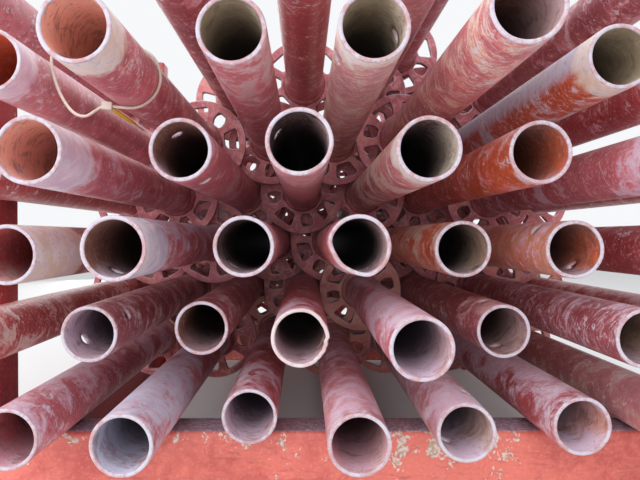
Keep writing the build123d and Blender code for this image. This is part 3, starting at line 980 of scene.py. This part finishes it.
def hollowBar(node, axis, material):
    # A rounded hollow section in its node's box, a little uneven on its faces
    s = rackSizes
    low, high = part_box(node)
    first, second = (k for k in range(3) if k != axis)
    middle = (low + high) / 2
    size = high - low
    a, b = size[first] / 2, size[second] / 2
    bm = bmesh.new()
    edgeLayer = bm.verts.layers.float.new("edge")
    heightLayer = bm.verts.layers.float.new("height")

    def outline(inset, corner):
        # Rounded corners marked 1, with points between them marked 0
        points = []
        for k, (signA, signB) in enumerate(((1, 1), (-1, 1), (-1, -1), (1, -1))):
            for step in range(s["cornerSteps"] + 1):
                angle = (k + step / s["cornerSteps"]) * math.pi / 2
                points.append((signA * (a - inset - corner) + corner * math.cos(angle),
                               signB * (b - inset - corner) + corner * math.sin(angle)))
        dense = []
        for k, (pa, pb) in enumerate(points):
            dense.append((pa, pb, 1.0))
            qa, qb = points[(k + 1) % len(points)]
            extra = int(math.hypot(qa - pa, qb - pb) / s["pointEvery"])
            for n in range(1, extra + 1):
                t = n / (extra + 1)
                dense.append((pa + (qa - pa) * t, pb + (qb - pb) * t, 0.0))
        return dense

    def ring(points, along, rough):
        verts = []
        for pa, pb, edge in points:
            co = Vector((0, 0, 0))
            co[first] = middle[first] + pa
            co[second] = middle[second] + pb
            co[axis] = along
            shifted = co * s["broadLumps"] + Vector((s["seed"], 0, 0))
            lump = noise.noise(shifted) + 0.5 * noise.noise(co * s["fineLumps"])
            sink = rough * max(0.0, 0.6 + lump)
            inwards = Vector((0, 0, 0))
            inwards[first] = -pa / a
            inwards[second] = -pb / b
            co += inwards.normalized() * sink
            vert = bm.verts.new(co)
            vert[edgeLayer] = edge
            vert[heightLayer] = (co.z - low.z) / size.z if axis == 0 else 0.0
            verts.append(vert)
        return verts

    wall, corner, inset = s["wall"], s["corner"], s["endInset"]
    outer = outline(0, corner)
    outerEnd = outline(s["endRound"], corner - s["endRound"])
    innerEnd = outline(wall - s["innerEndRound"], corner - wall + s["innerEndRound"])
    inner = outline(wall, corner - wall)
    count = max(2, round(size[axis] / s["ringEvery"]))
    stops = [low[axis] + inset + (size[axis] - 2 * inset) * k / count for k in range(count + 1)]
    outerRings = [ring(outer, along, s["rough"]) for along in stops]
    innerRings = [ring(inner, along, 0.0) for along in stops]
    chains = [outerRings, innerRings]
    for end, along in ((0, low[axis]), (-1, high[axis])):
        chains.append([outerRings[end], ring(outerEnd, along, 0.0), ring(innerEnd, along, 0.0),
                       innerRings[end]])
    for chain in chains:
        for ringBefore, ringAfter in zip(chain, chain[1:]):
            bridge(bm, ringBefore, ringAfter)
    smoothAll(bm)
    finishPiece(node, bm, material)


for node in ("front_beam", "rear_beam"):
    hollowBar(node, 0, beamPaint)
for node in ("front_left_post", "front_right_post", "rear_left_post", "rear_right_post"):
    hollowBar(node, 2, rackPaint)
for node in ("left_side_rail", "right_side_rail"):
    hollowBar(node, 1, rackPaint)

footSizes = {"bevel": 0.0012, "cells": 8, "longFrom": 0.05, "handCut": 0.006, "lumpScale": 40, "seed": 5}


def footPlate(node):
    # A flat plate with broken edges, cut by hand and a little uneven
    s = footSizes
    low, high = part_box(node)
    bm = bmesh.new()
    bmesh.ops.create_cube(bm, size=1.0)
    for vert in bm.verts:
        vert.co = Vector([low[k] + (vert.co[k] + 0.5) * (high[k] - low[k]) for k in range(3)])
    bmesh.ops.bevel(bm, geom=list(bm.edges), offset=s["bevel"], segments=2, affect="EDGES", profile=0.5)
    long = [e for e in bm.edges if e.calc_length() > s["longFrom"]]
    bmesh.ops.subdivide_edges(bm, edges=long, cuts=s["cells"], use_grid_fill=True)
    edgeLayer = bm.verts.layers.float.new("edge")
    middle = (low + high) / 2
    for vert in bm.verts:
        reach = max(abs(vert.co.x - middle.x) / (high.x - low.x),
                    abs(vert.co.y - middle.y) / (high.y - low.y)) * 2
        vert[edgeLayer] = max(0.0, reach * 5 - 4)   # rises over the last fifth of the way
        lump = noise.noise(vert.co * s["lumpScale"] + Vector((s["seed"], 0, 0)))
        vert.co.x += (middle.x - vert.co.x) * s["handCut"] * (1 + lump)
        vert.co.y += (middle.y - vert.co.y) * s["handCut"] * (1 + lump)
    finishPiece(node, bm, rackPaint)


for node in ("front_left_foot", "front_right_foot", "rear_left_foot", "rear_right_foot"):
    footPlate(node)
print("rack made")


tieSizes = {
    "tubeRow": 5,
    "tubePlace": 2,
    "fromMouth": 0.107,
    "across": 0.0026,
    "sides": 10,
    "hugRadius": 0.02575,   # of the strap's middle line, where it lies on the tube
    "hugSteps": 18,
    # Where the loose part hangs, across and up from the tube's axis
    "slack": [(-0.052, 0.035), (-0.068, 0.020), (-0.062, -0.008),
              (-0.050, -0.029), (-0.038, -0.034), (-0.029, -0.028)],
    "slackRounds": 3,
    "leavesTubeAt": 80,
    "clipAngle": -128,
    "clipStandOff": 0.0048,
    "clipGrip": 0.001,
    "clip": (0.009, 0.005, 0.007),
    "clipBevel": 0.0009,
    "tag": (0.007, 0.065, 0.002),
    "tagBevel": 0.0007,
    "tagTaper": 0.9,
    "tail": 0.033,
    "tailThinness": 0.6,
    "tailBevel": 0.0004,
    "tailTaper": 0.7,
}


def tieRoute():
    # The strap's line round the tube, in the plane across the tube's axis
    s = tieSizes
    clipRadius = s["hugRadius"] + s["clipStandOff"]
    clipAngle = math.radians(s["clipAngle"])
    clip = Vector((clipRadius * math.cos(clipAngle), clipRadius * math.sin(clipAngle)))
    startAngle = clipAngle + math.acos(s["hugRadius"] / clipRadius)
    heading = Vector((-math.sin(startAngle), math.cos(startAngle)))
    half = s["clip"][0] / 2 - s["clipGrip"]
    points = [clip + heading * half]
    endAngle = math.radians(s["leavesTubeAt"])
    for k in range(s["hugSteps"] + 1):
        angle = startAngle + (endAngle - startAngle) * k / s["hugSteps"]
        points.append(Vector((s["hugRadius"] * math.cos(angle), s["hugRadius"] * math.sin(angle))))
    smooth = [points[-1]] + [Vector(p) for p in s["slack"]] + [clip - heading * half]
    for _ in range(s["slackRounds"]):   # corner cutting leaves an even, springy bend
        cut = [smooth[0]]
        for first, second in zip(smooth, smooth[1:]):
            cut += [first * 0.75 + second * 0.25, first * 0.25 + second * 0.75]
        smooth = cut + [smooth[-1]]
    return points + smooth[1:], clip, heading


def makeTie():
    s = tieSizes
    tube = rows[s["tubeRow"] - 1][s["tubePlace"] - 1]
    y = tube["mouth"] + s["fromMouth"]
    route, clip, heading = tieRoute()
    origin = Vector((tube["x"], y, tube["z"]))
    bm = bmesh.new()
    rings = []
    for k, point in enumerate(route):
        before, after = route[max(k - 1, 0)], route[min(k + 1, len(route) - 1)]
        way = (after - before).normalized()
        side = Vector((way.y, -way.x))
        ring = []
        for n in range(s["sides"]):
            angle = 2 * math.pi * n / s["sides"]
            out = point + side * (math.cos(angle) * s["across"] / 2)
            ring.append(bm.verts.new(origin + Vector((out.x, math.sin(angle) * s["across"] / 2, out.y))))
        rings.append(ring)
    for first, second in zip(rings, rings[1:]):
        bridge(bm, first, second)
    bm.faces.new(rings[0])
    bm.faces.new(rings[-1])
    bmesh.ops.recalc_face_normals(bm, faces=bm.faces)
    for face in bm.faces:
        face.smooth = len(face.verts) == 4
    finishPiece("tie_loop", bm, tiePlastic)

    across = Vector((heading.x, 0, heading.y))
    upwards = Vector((-heading.y, 0, heading.x))
    centre = origin + Vector((clip.x, 0, clip.y))

    def block(node, size, alongY, bevel, material, slotName, taper=1.0):
        # A small moulded block; taper narrows its far end
        bm = bmesh.new()
        bmesh.ops.create_cube(bm, size=1.0)
        for vert in bm.verts:
            a, b, c = vert.co.x * size[0], vert.co.y * size[1], vert.co.z * size[2]
            if vert.co.y > 0:
                a, c = a * taper, c * taper
            vert.co = centre + across * a + upwards * c + Vector((0, alongY + b, 0))
        bmesh.ops.bevel(bm, geom=list(bm.edges), offset=bevel, segments=3,
                        affect="EDGES", profile=0.5)
        smoothAll(bm)
        finishPiece(node, bm, material)

    clipDepth, tagLength = s["clip"][1], s["tag"][1]
    tail = (s["across"], s["tail"], s["across"] * s["tailThinness"])
    block("tie_clip", s["clip"], 0.0, s["clipBevel"], tiePlastic, "tie_plastic")
    block("tie_tag", s["tag"], clipDepth / 2 + tagLength / 2, s["tagBevel"],
          tagPlastic, "tag_plastic", s["tagTaper"])
    block("tie_tail", tail, clipDepth / 2 + tagLength + s["tail"] / 2, s["tailBevel"],
          tiePlastic, "tie_plastic", s["tailTaper"])


makeTie()
print("tie made")


stageSettings = {
    "floor": 14.0,
    "floorDrop": 0.0005,
    "floorColor": (0.70, 0.695, 0.69),
    "world": (0.93, 0.94, 0.96),
    "worldOnObject": 0.84,      # its strength as light; the camera sees it at 1
}


def makeStage():
    s = stageSettings
    bm = bmesh.new()
    bmesh.ops.create_grid(bm, x_segments=1, y_segments=1, size=s["floor"])
    mesh = meshFrom(bm, "floor")
    floor = placed("floor", mesh)
    floor.location.z = -s["floorDrop"]
    material, g = newPaint("floorPaint")
    shader = g.add("ShaderNodeBsdfPrincipled", None,
                   {"Base Color": (*s["floorColor"], 1), "Roughness": 0.85}, out=None)
    output = g.add("ShaderNodeOutputMaterial", out=None)
    g.tree.links.new(shader.outputs[0], output.inputs[0])
    mesh.materials.append(material)

    world = bpy.data.worlds.new("studio")
    scene.world = world
    world.use_nodes = True
    world.node_tree.nodes.clear()
    g = Graph(world.node_tree)
    path = g.add("ShaderNodeLightPath", out=None)
    seen = g.math("MAXIMUM", Wire(g, path.outputs["Is Camera Ray"]), Wire(g, path.outputs["Is Glossy Ray"]))
    strength = seen * (1 - s["worldOnObject"]) + s["worldOnObject"]
    background = g.add("ShaderNodeBackground", None, {"Color": (*s["world"], 1), "Strength": strength})
    output = g.add("ShaderNodeOutputWorld", out=None)
    g.tree.links.new(background.socket, output.inputs[0])


lampSettings = {
    "frontSoft": {"place": (-0.7, -2.4, 1.0), "target": (0, -0.4, 0.3), "size": 2.0, "power": 33},
    "topSoft": {"place": (0.1, -0.9, 2.4), "target": (0, -0.3, 0.3), "size": 2.0, "power": 31,
                "color": (0.93, 0.96, 1.0)},
    "leftSoft": {"place": (-2.3, -1.3, 0.9), "target": (0, -0.4, 0.2), "size": 1.6, "power": 22,
                 "color": (0.95, 0.96, 1.0)},
    "rearSoft": {"place": (-0.6, 2.6, 0.8), "target": (0, 0.3, 0.1), "size": 2.0, "power": 24},
}


def softLamp(name, place, target, size, power, color=(1, 1, 1)):
    light = bpy.data.lights.new(name, "AREA")
    light.shape = "SQUARE"
    light.size = size
    light.energy = power
    light.color = color
    lamp = placed(name, light)
    lamp.location = place
    lamp.rotation_euler = (Vector(target) - Vector(place)).to_track_quat("-Z", "Y").to_euler()


makeStage()
for name, lamp in lampSettings.items():
    softLamp(name, **lamp)

cameraSettings = {
    "place": (-0.044, -0.882, 0.288),
    "lens": 29.08,
    "sensor": 36.0,
    "yaw": 0.22,
    "pitch": -0.33,
    "shiftAcross": 0.0215,
    "nearest": 0.02,
}
cameraData = bpy.data.cameras.new("photoView")
cameraData.lens = cameraSettings["lens"]
cameraData.sensor_width = cameraSettings["sensor"]
cameraData.shift_x = cameraSettings["shiftAcross"]
cameraData.clip_start = cameraSettings["nearest"]
camera = placed("photoView", cameraData)
camera.location = cameraSettings["place"]
camera.rotation_euler = (math.radians(90 + cameraSettings["pitch"]), 0, math.radians(-cameraSettings["yaw"]))
scene.camera = camera
print("stage, lights and camera set")
